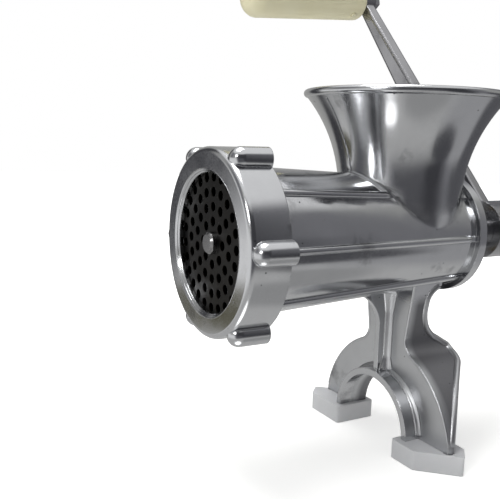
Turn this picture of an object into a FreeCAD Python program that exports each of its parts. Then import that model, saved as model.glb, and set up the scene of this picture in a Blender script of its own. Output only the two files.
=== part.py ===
import FreeCAD, Part
import math
import os
import re

import Sketcher

Vector = FreeCAD.Vector
Rotation = FreeCAD.Rotation
Placement = FreeCAD.Placement

# Driving sizes in millimetres, angles in degrees.
# Places along the barrel are measured back from the front face of the ring nut,
# and heights of the casting from the barrel's axis.
SIZES = {
    # where the object stands
    "axis_height": (108, "barrel axis above the table"),
    "front_overhang": (105.5, "ring face ahead of the middle of the stand"),
    # fits
    "turn_gap": (0.06, "radial clearance of a turning fit"),
    "push_gap": (0.05, "clearance of a fixed fit"),
    "loose_gap": (0.3, "clearance of loose and threaded pieces"),
    # ring nut
    "ring_outer_r": (42, "outside radius of the ring nut"),
    "ring_length": (19, "length of the ring nut"),
    "ring_lip": (4, "thickness of the ring's front lip"),
    "ring_bevel": (0.8, "bevel round the ring's opening"),
    "ring_opening_r": (31.6, "radius of the outlet in the lip"),
    "ring_round": (2.5, "rounding of the ring's front edge"),
    "ring_lug_r": (5.1, "radius of a lug's round back"),
    "ring_lug_rise": (5.5, "height of a lug above the ring"),
    "ring_lug_front": (1, "front of a lug behind the ring face"),
    "ring_lugs": (6, "number of lugs"),
    "ring_lug_tilt": (-2, "turn of the first lug from the side"),
    # cutting plate
    "plate_r": (35, "radius of the cutting plate"),
    "plate_thick": (4.8, "thickness of the cutting plate"),
    "plate_bore_r": (5, "radius of the plate's middle hole"),
    "plate_hole_r": (2.2, "radius of a cutting hole"),
    "plate_first_ring": (9.5, "radius of the inmost ring of holes"),
    "plate_ring_step": (6.5, "distance between rings of holes"),
    "plate_rings": (4, "number of rings of holes"),
    "plate_hole_pitch": (7, "distance between holes along a ring"),
    "key_r": (2, "radius of the key pin"),
    "key_length": (8, "length of the key pin"),
    # barrel
    "thread_r": (37.5, "radius of the threaded collar"),
    "collar_length": (13, "length of the threaded collar"),
    "collar_set_back": (0.8, "collar's front face behind the plate's front face"),
    "barrel_front_r": (33.8, "barrel radius at the collar"),
    "barrel_rear_r": (27.7, "barrel radius at the rear cap"),
    "barrel_length": (135, "ring face to the rear cap"),
    "cap_r": (30.6, "radius of the rear cap's edge"),
    "cap_depth": (12, "depth of the rounded rear cap"),
    "cap_rim": (4.5, "straight edge of the rear cap"),
    "cap_flat_r": (19, "radius of the flat on the rear cap"),
    "bore_front_r": (28.6, "bore radius behind the knife"),
    "bore_rear_r": (22.6, "bore radius at the rear"),
    "bore_floor": (8.5, "thickness of the barrel's rear wall"),
    "knife_room_r": (31, "radius of the room that the knife turns in"),
    "rib_width": (2.6, "width of a rib along the barrel"),
    "rib_rise": (1.3, "height of a rib along the barrel"),
    "rib_upper_angle": (45, "upper ribs, above the side"),
    "rib_side_angle": (0, "side ribs, above the side"),
    "rib_lower_angle": (-47, "lower ribs, above the side"),
    # hopper
    "hopper_back": (27.3, "hopper axis ahead of the rear cap"),
    "hopper_rim_r": (49.7, "outside radius of the rim"),
    "hopper_height": (70.5, "rim above the barrel axis"),
    "hopper_lip": (3.8, "height of the rim's round lip"),
    "hopper_land": (0.6, "flat on top of the lip"),
    "hopper_wall": (3.4, "wall of the hopper"),
    "hopper_flare_r": (74, "radius of the flare's curve"),
    "neck_top": (18.7, "top of the hopper's neck above the axis"),
    "neck_r": (30.5, "radius of the neck at its top"),
    "neck_foot_r": (27.4, "radius of the neck at the axis"),
    "throat_r": (21.5, "radius of the throat into the bore"),
    # stand
    "web_place": (105.5, "front of the stand's web behind the ring face"),
    "web_thick": (4.5, "thickness of the web"),
    "column_top": (20, "top of the column below the axis, in the barrel's wall"),
    "column_top_half": (19.2, "half width of the column at its top"),
    "column_half": (14.3, "half width of the column at its waist"),
    "waist_drop": (51.4, "waist of the column below the axis"),
    "shoulder_r": (9.5, "inside radius of the shoulder"),
    "shoulder_turn": (66, "turn of the shoulder, in degrees"),
    "leg_half": (48.8, "half width over the legs"),
    "leg_curve_r": (50, "radius of a leg's outside"),
    "leg_bend_height": (11.5, "height where the legs turn upright"),
    "arch_r": (25.2, "radius of the arch"),
    "flange_thick": (3.4, "thickness of the flanges"),
    "arch_base": (8.5, "centre of the arch above the table"),
    "arch_front": (8.4, "arch flange ahead of the web's front"),
    "arch_back": (9.2, "arch flange behind the web's front"),
    "back_flare": (18, "back flange behind the web's front at the barrel"),
    "back_flare_drop": (24.5, "start of the back flange's flare below the axis"),
    "back_flare_r": (9, "radius of the back flange's flare"),
    "back_waist": (11.3, "back flange behind the web's front at its waist"),
    "back_waist_drop": (34, "waist of the back flange below the axis"),
    "back_waist_r": (19, "radius of the back flange's waist"),
    "back_bend": (22, "back flange behind the web's front below the waist"),
    "back_bend_drop": (53.5, "end of the waist's curve below the axis"),
    "back_shoulder": (28.1, "back flange behind the web's front at its shoulder"),
    "back_shoulder_drop": (57.3, "start of the shoulder below the axis"),
    "back_shoulder_r": (5, "radius of the back flange's shoulder"),
    "back_slope": (26.6, "back flange behind the web's front below the shoulder"),
    "back_slope_drop": (63.5, "end of the shoulder below the axis"),
    "back_slope_r": (48, "radius of the back flange's lower border"),
    "back_foot": (3.5, "back flange behind the web's front at the foot"),
    "fin_width": (3, "width of the front fin"),
    "fin_front": (6.2, "fin ahead of the web's front at its waist"),
    "fin_flare": (17, "fin ahead of the web's front at the barrel"),
    "fin_flare_drop": (31, "start of the fin's flare below the axis"),
    "fin_waist_drop": (45.5, "end of the fin's flare below the axis"),
    "fin_flare_r": (20, "radius of the fin's flare"),
    # foot pads
    "pad_height": (9.5, "height of a foot pad"),
    "pad_sole": (3, "pad under the leg"),
    "pad_inside": (22.4, "inside face of a pad from the middle"),
    "pad_front": (12.3, "front of a pad ahead of the middle"),
    "pad_back": (12, "back of a pad behind the middle"),
    "pad_bend": (38.6, "where the pad's front starts to slant, from the middle"),
    "pad_nose": (54.6, "outermost point of a pad from the middle"),
    "pad_nose_back": (5, "outermost point of a pad behind the middle"),
    "pad_tail": (47.2, "outside of the pad's back corner from the middle"),
    "pad_round": (1.5, "rounding of a pad's upright edges"),
    "pad_recess_r": (2.4, "radius of the recess round the leg's outer end"),
    "pad_recess": (4, "depth of the recess round the leg's outer end"),
    # knife
    "knife_r": (28, "reach of the knife's blades"),
    "knife_thick": (5, "depth of the blades"),
    "knife_hub_r": (10.5, "radius of the knife's hub"),
    "knife_hub_length": (9, "length of the knife's hub"),
    "knife_root": (9, "width of a blade at the hub"),
    "knife_tip": (6.5, "width of a blade at its tip"),
    # worm
    "stud_reach": (3, "stud in front of the plate"),
    "stud_bevel": (1, "bevel of the stud's end"),
    "stud_square": (10.6, "square of the front stud"),
    "stud_tail_r": (5, "radius of the stud's tail in the worm"),
    "stud_tail": (15, "length of the stud's tail"),
    "worm_core_r": (10, "radius of the worm's core"),
    "worm_gap": (0.7, "worm flight inside the bore"),
    "worm_flight_thick": (4, "thickness of the flight at its edge"),
    "worm_turns": (3.5, "turns of the flight"),
    "worm_end_gap": (3, "worm flight short of the bore's ends"),
    "shaft_r": (10.5, "radius of the tail shaft"),
    "shaft_tail_r": (6, "radius of the tail shaft inside the worm"),
    "shaft_sink": (22, "tail shaft inside the worm"),
    "shaft_square": (12, "square of the tail shaft"),
    "shaft_neck": (19.4, "shaft between the rear cap and the crank"),
    "tail_pin_r": (2, "radius of the pin through worm and shaft"),
    "tail_pin_place": (10, "pin ahead of the worm's rear face"),
    "washer_thick": (2, "thickness of the thrust washer"),
    "washer_r": (16, "radius of the thrust washer"),
    "bush_wall": (2.5, "wall of the rear bush"),
    "bush_flange_r": (15, "radius of the bush's flange"),
    "bush_flange": (1.6, "thickness of the bush's flange"),
    # crank
    "crank_length": (164, "hub to grip, centre to centre"),
    "crank_lean": (35.8, "lean of the resting crank from upright"),
    "crank_rake": (6.4, "lean of the arm towards the front"),
    "hub_r": (15.6, "radius of the crank's hub"),
    "hub_length": (28, "length of the crank's hub"),
    "arm_thick": (8, "thickness of the arm"),
    "arm_root": (20, "width of the arm at the hub"),
    "arm_tip": (7, "width of the arm at the grip"),
    "arm_edge": (2.4, "rounding of the arm's edges"),
    "eye_r": (7.5, "radius of the arm's eye"),
    "screw_r": (4, "radius of the wing screw"),
    "screw_length": (28, "screw below its head"),
    "screw_play": (2, "free depth below the screw"),
    "screw_head_r": (9, "radius of the screw's head"),
    "screw_head": (8, "length of the screw's head"),
    "wing_reach": (21, "reach of a wing"),
    "wing_height": (15, "height of a wing"),
    "wing_thick": (4.5, "thickness of a wing"),
    "screw_washer_r": (10.5, "radius of the screw's washer"),
    "screw_washer": (1.6, "thickness of the screw's washer"),
    # grip
    "grip_r": (11.5, "radius of the grip"),
    "grip_length": (82.5, "length of the grip"),
    "grip_nose_r": (8, "rounding of the grip's free end"),
    "grip_edge_r": (3, "rounding of the grip's other end"),
    "grip_end_wall": (12, "solid end of the grip"),
    "grip_washer_r": (8, "radius of the grip's washer"),
    "grip_washer": (1, "thickness of the grip's washer"),
    "spindle_r": (4, "radius of the spindle in the grip"),
    "spindle_thread_r": (3, "radius of the spindle in the arm"),
    "spindle_groove_r": (2.6, "radius of the groove in the spindle"),
    "nut_flats": (10, "width over the nut's flats"),
    "nut_length": (5, "length of the nut"),
    "keeper_r": (1.5, "radius of the keeper pin"),
    "keeper_place": (9, "keeper pin from the grip's end"),
    "keeper_head": (0.9, "keeper pin outside the grip"),
}

# Places that follow from the sizes above, as expressions on them.
PLACES = {
    "plate_back": "ring_lip + plate_thick",
    "collar_front": "ring_lip + collar_set_back",
    "collar_back": "collar_front + collar_length",
    "knife_back": "plate_back + knife_hub_length",
    "bore_end": "barrel_length + cap_depth - bore_floor",
    "cap_back": "barrel_length + cap_depth",
    "hopper_place": "barrel_length - hopper_back",
    "bush_back": "cap_back + bush_flange",
    "washer_front": "bore_end - washer_thick",
    "hub_front": "cap_back + shaft_neck",
    "hub_back": "hub_front + hub_length",
    "arm_back": "hub_front + arm_thick",
    "stud_r": "plate_bore_r - turn_gap",
    "stud_front": "ring_lip - stud_reach",
    "stud_square_front": "plate_back + loose_gap",
    "stud_tail_back": "knife_back + stud_tail",
    "shaft_front": "washer_front - shaft_sink",
    "screw_seat": "hub_back + screw_washer",
    "screw_tip": "screw_seat - screw_length",
    "bush_r": "shaft_r + turn_gap + bush_wall",
    "bore_slope": "(bore_front_r - bore_rear_r) / (bore_end - collar_back)",
    "arch_drop": "axis_height - arch_base",
    "tang_drop": "axis_height - pad_sole",
    "bend_drop": "axis_height - leg_bend_height",
    "shoulder_rise": "sin(shoulder_turn * 1 deg)",
    "shoulder_run": "cos(shoulder_turn * 1 deg)",
    "shoulder_foot_drop": "waist_drop + shoulder_r * shoulder_rise",
    "shoulder_half": "column_half + shoulder_r * (1 - shoulder_run)",
    "lip_r": "hopper_rim_r - hopper_lip / 2",
    "flight_front": "collar_back + worm_end_gap",
    "flight_back": "washer_front - worm_end_gap - worm_flight_thick",
    "tail_pin_along": "washer_front - tail_pin_place",
    "tail_pin_half": "worm_core_r - loose_gap",
    "grip_back": "hub_front - grip_washer - loose_gap",
    "grip_front": "grip_back - grip_length",
    "keeper_along": "grip_back - keeper_place",
}

doc = FreeCAD.newDocument("meat_grinder")
sheet = doc.addObject("Spreadsheet::Sheet", "Sizes")
for row, (alias, (number, meaning)) in enumerate(SIZES.items(), start=1):
    sheet.set(f"A{row}", meaning)
    sheet.set(f"B{row}", str(number))
    sheet.setAlias(f"B{row}", alias)
doc.recompute()

parts = []


def bound(text):
    """Return an expression with its places spelt out and its sizes pointed at the sheet."""

    def spell(match):
        word = match.group(0)
        if word in PLACES:
            return f"({bound(PLACES[word])})"
        return f"Sizes.{word}" if word in SIZES else word

    return re.sub(r"[a-z_]+", spell, text)


def size(text):
    """Return the present value of an expression."""
    return float(sheet.evalExpression(bound(text)))


def new_body(label, along="0", across="0", up="0", turn=None):
    """Start a sub-part whose frame stands at the given place."""
    body = doc.addObject("PartDesign::Body", label)
    body.Label = label
    place = Vector(size(along), size(across), size(up))
    body.Placement = Placement(place, turn or Rotation())
    for axis, text in zip("xyz", (along, across, up)):
        body.setExpression(f"Placement.Base.{axis}", bound(text))
    parts.append(body)
    return body


def barrel_body(label, turn=None):
    """Start a sub-part in the barrel's frame: ring face at zero, X along the barrel to the rear."""
    return new_body(label, along="0 - front_overhang", up="axis_height", turn=turn)


def crank_body(label):
    """Start a sub-part in the crank's frame: the barrel's frame, turned so that Z follows the arm's lean."""
    lean = Rotation(Vector(-1, 0, 0), size("crank_lean"))
    body = barrel_body(label, turn=lean)
    body.setExpression("Placement.Rotation.Angle", bound("crank_lean * 1 deg"))
    return body


def eye_body(label):
    """Start a sub-part in the eye's frame: the crank's frame, raked with the arm about the front of its
    hub and moved out along the arm to its eye."""
    lean, rake = "(crank_lean * 1 deg)", "(crank_rake * 1 deg)"
    out = f"(crank_length * cos{rake} - hub_front * sin{rake})"
    body = new_body(
        label,
        along=f"hub_front * (1 - cos{rake}) - crank_length * sin{rake} - front_overhang",
        across=f"{out} * sin{lean}",
        up=f"axis_height + {out} * cos{lean}",
        turn=Rotation(Vector(-1, 0, 0), size("crank_lean")) * Rotation(Vector(0, -1, 0), size("crank_rake")),
    )
    body.setExpression("Placement.Rotation", bound(f"rotationx(0 deg - {lean}) * rotationy(0 deg - {rake})"))
    return body


def new_sketch(body, plane, shift="0", turn=None, slide="0", lift="0"):
    """Attach a sketch to one of the body's own planes, moved along its normal and its two axes."""
    sketch = body.newObject("Sketcher::SketchObject", f"{body.Label}_sketch")
    support = next(f for f in body.Origin.OriginFeatures if f.Role == plane)
    sketch.AttachmentSupport = [(support, "")]
    sketch.MapMode = "FlatFace"
    sketch.AttachmentOffset = Placement(Vector(), turn or Rotation())
    for axis, text in zip("xyz", (slide, lift, shift)):
        sketch.setExpression(f"AttachmentOffset.Base.{axis}", bound(text))
    return sketch


def tie(sketch, constraint, text):
    """Add a constraint and bind its value to an expression."""
    index = sketch.addConstraint(constraint)
    sketch.setExpression(f"Constraints[{index}]", bound(text))


def pin_point(sketch, piece, corner, across, up):
    """Hold one point of a piece at a place given by two expressions."""
    tie(sketch, Sketcher.Constraint("DistanceX", -1, 1, piece, corner, size(across)), across)
    tie(sketch, Sketcher.Constraint("DistanceY", -1, 1, piece, corner, size(up)), up)


def curve_between(start, end, radius, side):
    """Return an arc from start to end whose centre lies to the left (1) or right (-1) of the way."""
    chord = end - start
    normal = Vector(-chord.y, chord.x, 0) * (side / chord.Length)
    rise = math.sqrt(max(radius**2 - chord.Length**2 / 4, 0))
    centre = (start + end) * 0.5 + normal * rise
    angles = [math.atan2(p.y - centre.y, p.x - centre.x) for p in (start, end)]
    circle = Part.Circle(centre, Vector(0, 0, 1), radius)
    return Part.ArcOfCircle(circle, *(angles if side > 0 else angles[::-1]))


def draw(sketch, corners):
    """Draw a closed outline. A corner is (x, y), or (x, y, radius, side) where an arc leaves it."""
    points = [Vector(size(corner[0]), size(corner[1]), 0) for corner in corners]
    ends = []
    for corner, start, end in zip(corners, points, points[1:] + points[:1]):
        if len(corner) == 2:
            piece = sketch.addGeometry(Part.LineSegment(start, end), False)
            ends.append((piece, 1, 2))
            continue
        radius, side = corner[2:]
        piece = sketch.addGeometry(curve_between(start, end, size(radius), side), False)
        ends.append((piece, 1, 2) if side > 0 else (piece, 2, 1))
    for (piece, _, last), (following, first, _) in zip(ends, ends[1:] + ends[:1]):
        sketch.addConstraint(Sketcher.Constraint("Coincident", piece, last, following, first))
    for corner, (piece, first, _) in zip(corners, ends):
        pin_point(sketch, piece, first, corner[0], corner[1])
        if len(corner) > 2:
            tie(sketch, Sketcher.Constraint("Radius", piece, size(corner[2])), corner[2])


def draw_circle(sketch, across, up, radius):
    """Draw a circle from three expressions."""
    centre = Vector(size(across), size(up), 0)
    piece = sketch.addGeometry(Part.Circle(centre, Vector(0, 0, 1), size(radius)), False)
    pin_point(sketch, piece, 3, across, up)
    tie(sketch, Sketcher.Constraint("Radius", piece, size(radius)), radius)


def square_outline(half):
    """Return a square round the origin from half its width."""
    return box_corners(f"0 - ({half})", half, f"0 - ({half})", half)


def box_corners(left, right, low, high):
    """Return the corners of a rectangle."""
    return [(left, low), (right, low), (right, high), (left, high)]


def feature(body, kind, sketch, **settings):
    """Add a sketch-based feature to a body."""
    made = body.newObject(f"PartDesign::{kind}", f"{body.Label}_{kind}")
    made.Profile = sketch
    for name, setting in settings.items():
        setattr(made, name, setting)
    return made


def turned(body, outline, cut=False, axis="H_Axis", slide="0", lift="0"):
    """Turn an outline in the upright lengthwise plane into a solid, or cut it out."""
    sketch = new_sketch(body, "XZ_Plane", slide=slide, lift=lift)
    draw(sketch, outline)
    kind = "Groove" if cut else "Revolution"
    return feature(body, kind, sketch, ReferenceAxis=(sketch, [axis]), Angle=360)


def raised(body, plane, outlines, start, length, cut=False, both_ways=False, turn=None):
    """Raise closed outlines from a plane into a solid, or cut them out the same way."""
    sketch = new_sketch(body, plane, shift=start, turn=turn)
    for outline in outlines:
        draw(sketch, outline)
    made = feature(body, "Pocket" if cut else "Pad", sketch)
    made.setExpression("Length", bound(length))
    made.SideType = "Symmetric" if both_ways else "One side"
    made.Reversed = cut
    return made


def drilled(body, plane, circles, start, length, cut=True, turn=None):
    """Cut round holes, or raise round bosses, given as (across, up, radius) on a plane."""
    sketch = new_sketch(body, plane, shift=start, turn=turn)
    for circle in circles:
        draw_circle(sketch, *circle)
    made = feature(body, "Pocket" if cut else "Pad", sketch, Reversed=cut)
    made.setExpression("Length", bound(length))
    return made


def ring_outline(front, back, outside, inside="0"):
    """Return the half section of a plain ring or disc."""
    return box_corners(front, back, inside, outside)


def patterned(body, original, count, axis="X_Axis"):
    """Repeat a feature round one of the body's axes."""
    pattern = body.newObject("PartDesign::PolarPattern", f"{body.Label}_pattern")
    pattern.Originals = [original]
    pattern.Axis = (next(f for f in body.Origin.OriginFeatures if f.Role == axis), [""])
    pattern.Angle = 360
    pattern.setExpression("Occurrences", bound(count))
    body.Tip = pattern
    return pattern


def rounded(body, radius, wanted):
    """Round the edges of the body's tip that a test picks out."""
    doc.recompute()
    tip = body.Tip
    names = [f"Edge{i}" for i, edge in enumerate(tip.Shape.Edges, start=1) if wanted(edge)]
    made = body.newObject("PartDesign::Fillet", f"{body.Label}_fillet")
    made.Base = (tip, names)
    made.setExpression("Radius", bound(radius))
    return made


def middle(edge):
    """Return the point half way along an edge."""
    return edge.valueAt((edge.FirstParameter + edge.LastParameter) / 2)


def build_grinder_body():
    body = barrel_body("grinder_body")
    build_stand(body)
    build_barrel(body)
    build_hopper(body)
    hollow_out(body)


def leg_outline(side, inset):
    """Return one side of the stand's outside, from the barrel down to the foot, moved in by inset."""
    half = "0 - " if side < 0 else ""
    bend = 1 if side < 0 else -1
    return [
        (f"{half}(column_top_half - ({inset}))", "0 - column_top"),
        (f"{half}(column_half - ({inset}))", "0 - waist_drop", f"shoulder_r + {inset}", -bend),
        (
            f"{half}(shoulder_half - ({inset}) * shoulder_run)",
            f"0 - shoulder_foot_drop - ({inset}) * shoulder_rise",
            f"leg_curve_r - ({inset})",
            bend,
        ),
        (f"{half}(leg_half - ({inset}))", "0 - bend_drop"),
        (f"{half}(leg_half - ({inset}))", "0 - tang_drop"),
    ]


def back_way(outline):
    """Return an outline walked the other way, with its arcs turned round."""
    corners = [corner[:2] for corner in outline][::-1]
    for index, corner in enumerate(outline):
        if len(corner) > 2:
            place = len(outline) - 2 - index
            corners[place] = corners[place] + (corner[2], -corner[3])
    return corners


def build_stand(body):
    arch = [
        ("0 - arch_r", "0 - tang_drop"),
        ("0 - arch_r", "0 - arch_drop", "arch_r", -1),
        ("0", "arch_r - arch_drop", "arch_r", -1),
        ("arch_r", "0 - arch_drop"),
        ("arch_r", "0 - tang_drop"),
    ]
    web = leg_outline(-1, "0") + arch + back_way(leg_outline(1, "0"))
    raised(body, "YZ_Plane", [web], "web_place", "web_thick")

    flanges = [leg_outline(side, "0") + back_way(leg_outline(side, "flange_thick")) for side in (-1, 1)]
    raised(body, "YZ_Plane", flanges, "web_place", "2 * back_flare")

    beyond = "web_place + 2 * back_flare"
    behind = [
        (beyond, "0 - column_top"),
        ("web_place + back_flare", "0 - column_top"),
        ("web_place + back_flare", "0 - back_flare_drop", "back_flare_r", 1),
        ("web_place + back_waist", "0 - back_waist_drop", "back_waist_r", 1),
        ("web_place + back_bend", "0 - back_bend_drop"),
        ("web_place + back_shoulder", "0 - back_shoulder_drop", "back_shoulder_r", -1),
        ("web_place + back_slope", "0 - back_slope_drop", "back_slope_r", 1),
        ("web_place + back_foot", "0 - bend_drop"),
        ("web_place + back_foot", "0 - axis_height"),
        (beyond, "0 - axis_height"),
    ]
    raised(body, "XZ_Plane", [behind], "0", "4 * leg_half", cut=True, both_ways=True)

    arch_outside = [
        ("0 - arch_r - flange_thick", "0 - tang_drop"),
        ("0 - arch_r - flange_thick", "0 - arch_drop", "arch_r + flange_thick", -1),
        ("0", "arch_r + flange_thick - arch_drop", "arch_r + flange_thick", -1),
        ("arch_r + flange_thick", "0 - arch_drop"),
        ("arch_r + flange_thick", "0 - tang_drop"),
    ]
    raised(
        body, "YZ_Plane", [arch_outside + back_way(arch)], "web_place - arch_front", "arch_front + arch_back"
    )

    fin = [
        ("web_place + web_thick / 2", "0 - column_top"),
        ("web_place - fin_flare", "0 - column_top"),
        ("web_place - fin_flare", "0 - fin_flare_drop", "fin_flare_r", -1),
        ("web_place - fin_front", "0 - fin_waist_drop"),
        ("web_place - fin_front", "arch_r + flange_thick / 2 - arch_drop"),
        ("web_place + web_thick / 2", "arch_r + flange_thick / 2 - arch_drop"),
    ]
    raised(body, "XZ_Plane", [fin], "0", "fin_width", both_ways=True)


def build_barrel(body):
    cap_curve = "cap_depth - cap_rim + cap_r - cap_flat_r"
    turned(
        body,
        [
            ("collar_front", "0"),
            ("collar_front", "thread_r"),
            ("collar_back", "thread_r"),
            ("collar_back", "barrel_front_r"),
            ("barrel_length", "barrel_rear_r"),
            ("barrel_length", "cap_r"),
            ("barrel_length + cap_rim", "cap_r", cap_curve, -1),
            ("cap_back", "cap_flat_r"),
            ("cap_back", "0"),
        ],
    )
    rib = [
        ("collar_back", "barrel_front_r - rib_rise"),
        ("barrel_length", "barrel_rear_r - rib_rise"),
        ("barrel_length", "barrel_rear_r + rib_rise"),
        ("collar_back", "barrel_front_r + rib_rise"),
    ]
    for angle in ("rib_upper_angle", "rib_side_angle", "rib_lower_angle"):
        for lean in (90 - size(angle), size(angle) - 90):
            turn = Rotation(Vector(1, 0, 0), lean)
            raised(body, "XZ_Plane", [rib], "0", "rib_width", both_ways=True, turn=turn)


def hopper_curve(inset):
    """Return the flare's lower and upper corner, moved in by inset."""
    return [
        (f"neck_r - ({inset})", "neck_top", f"hopper_flare_r + {inset}", -1),
        (f"lip_r - ({inset})", "hopper_height - hopper_lip"),
    ]


def build_hopper(body):
    lower, upper = hopper_curve("0")
    turned(
        body,
        [
            ("0", "0"),
            ("neck_foot_r", "0"),
            lower,
            upper + ("hopper_lip / 2", 1),
            ("lip_r", "hopper_height"),
            ("0", "hopper_height"),
        ],
        axis="V_Axis",
        slide="hopper_place",
    )


def hollow_out(body):
    turned(
        body,
        [
            ("0", "0"),
            ("0", "plate_r + loose_gap"),
            ("plate_back + loose_gap", "plate_r + loose_gap"),
            ("plate_back + loose_gap", "knife_room_r"),
            ("collar_back", "knife_room_r"),
            ("collar_back", "bore_front_r"),
            ("bore_end", "bore_rear_r"),
            ("bore_end", "bush_r + push_gap"),
            ("cap_back + loose_gap", "bush_r + push_gap"),
            ("cap_back + loose_gap", "0"),
        ],
        cut=True,
    )
    lower, upper = hopper_curve("hopper_wall")
    turned(
        body,
        [
            ("0", "0"),
            ("throat_r", "0"),
            ("throat_r", "neck_top / 2"),
            lower,
            upper + ("1.3 * hopper_lip", -1),
            ("lip_r - hopper_land", "hopper_height"),
            ("lip_r - hopper_land", "hopper_height + loose_gap"),
            ("0", "hopper_height + loose_gap"),
        ],
        cut=True,
        axis="V_Axis",
        slide="hopper_place",
    )
    key_drop = "0 - plate_r"
    drilled(body, "YZ_Plane", [("0", key_drop, "key_r + push_gap")], "collar_front", "key_length + push_gap")


def build_foot_pad(label, turn):
    """A pad in the stand's frame, for the leg on the -Y side; the other one is turned half round."""
    body = new_body(label, turn=Rotation(Vector(0, 0, 1), turn))
    outline = [
        ("0 - pad_front", "0 - pad_inside"),
        ("0 - pad_front", "0 - pad_bend"),
        ("pad_nose_back", "0 - pad_nose"),
        ("pad_back", "0 - pad_tail"),
        ("pad_back", "0 - pad_inside"),
    ]
    raised(body, "XY_Plane", [outline], "0", "pad_height")
    rounded(body, "pad_round", lambda edge: abs(middle(edge).z - size("pad_height / 2")) < 0.1)
    web = "web_place - front_overhang" if turn == 0 else "front_overhang - web_place"
    ahead = "" if turn == 0 else "0 - "
    gap = "push_gap"

    def slot(start, end, inside, outside):
        """A slot round one plate of the leg, from two places behind the web's front."""
        ends = [f"{web} + {ahead}({start})", f"{web} + {ahead}({end})"]
        left, right = ends if turn == 0 else ends[::-1]
        low, high = f"0 - ({outside})", f"0 - ({inside})"
        return box_corners(f"{left} - {gap}", f"{right} + {gap}", f"{low} - {gap}", f"{high} + {gap}")

    slots = (
        slot("0 - arch_front", "arch_back", "arch_r", "arch_r + flange_thick"),
        slot("0", "web_thick", "arch_r", "leg_half"),
        slot("0", "back_foot", "leg_half - flange_thick", "leg_half"),
    )
    for outline in slots:
        raised(body, "XY_Plane", [outline], "pad_sole", "pad_height", cut=True)
    heel = [(f"{web} + {ahead}(back_foot / 2)", "flange_thick / 2 - leg_half", "pad_recess_r")]
    drilled(body, "XY_Plane", heel, "pad_height - pad_recess", "pad_recess")


def build_ring_nut():
    body = barrel_body("ring_nut", turn=Rotation(Vector(1, 0, 0), size("ring_lug_tilt")))
    turned(
        body,
        [
            ("0", "ring_opening_r + ring_bevel"),
            ("ring_bevel", "ring_opening_r"),
            ("ring_lip", "ring_opening_r"),
            ("ring_lip", "thread_r + loose_gap"),
            ("ring_length", "thread_r + loose_gap"),
            ("ring_length", "ring_outer_r"),
            ("ring_round", "ring_outer_r", "ring_round", 1),
            ("0", "ring_outer_r - ring_round"),
        ],
    )
    lug = turned(
        body,
        [
            ("ring_lug_front", "0", "ring_lug_r", -1),
            ("ring_lug_front + ring_lug_r", "ring_lug_r"),
            ("ring_length", "ring_lug_r"),
            ("ring_length", "0"),
        ],
        lift="ring_outer_r + ring_lug_rise - ring_lug_r",
    )
    patterned(body, lug, "ring_lugs")
    drilled(body, "YZ_Plane", [("0", "0", "thread_r + loose_gap")], "ring_lip", "ring_length")
    body.setExpression("Placement.Rotation.Angle", bound("(ring_lug_tilt + 180 / ring_lugs) * 1 deg"))


def build_cutting_plate():
    body = barrel_body("cutting_plate")
    turned(body, ring_outline("ring_lip", "plate_back", "plate_r", "plate_bore_r"))
    for ring in range(int(size("plate_rings"))):
        radius = f"(plate_first_ring + {ring} * plate_ring_step)"
        count = f"floor(2 * pi * {radius} / plate_hole_pitch)"
        hole = drilled(body, "YZ_Plane", [("0", radius, "plate_hole_r")], "ring_lip", "plate_thick")
        patterned(body, hole, count)
    drilled(body, "YZ_Plane", [("0", "0 - plate_r", "key_r + loose_gap")], "ring_lip", "plate_thick")


def build_plate_key_pin():
    body = barrel_body("plate_key_pin")
    drilled(body, "YZ_Plane", [("0", "0 - plate_r", "key_r")], "collar_front", "key_length", cut=False)


def build_cross_knife():
    body = barrel_body("cross_knife")
    drilled(body, "YZ_Plane", [("0", "0", "knife_hub_r")], "plate_back", "knife_hub_length", cut=False)
    blade = [
        ("0 - knife_root / 2", "0"),
        ("knife_root / 2", "0"),
        ("knife_tip / 2", "knife_r"),
        ("0 - knife_tip / 2", "knife_r"),
    ]
    arm = raised(body, "YZ_Plane", [blade], "plate_back", "knife_thick")
    patterned(body, arm, "4")
    square = square_outline("stud_square / 2 + push_gap")
    raised(body, "YZ_Plane", [square], "plate_back", "knife_hub_length", cut=True)


def build_knife_stud():
    body = barrel_body("knife_stud")
    turned(
        body,
        [
            ("stud_front", "0"),
            ("stud_front", "stud_r - stud_bevel"),
            ("stud_front + stud_bevel", "stud_r"),
            ("stud_square_front", "stud_r"),
            ("stud_square_front", "stud_tail_r"),
            ("stud_tail_back", "stud_tail_r"),
            ("stud_tail_back", "0"),
        ],
    )
    square = square_outline("stud_square / 2")
    raised(body, "YZ_Plane", [square], "stud_square_front", "knife_back - stud_square_front")


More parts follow.
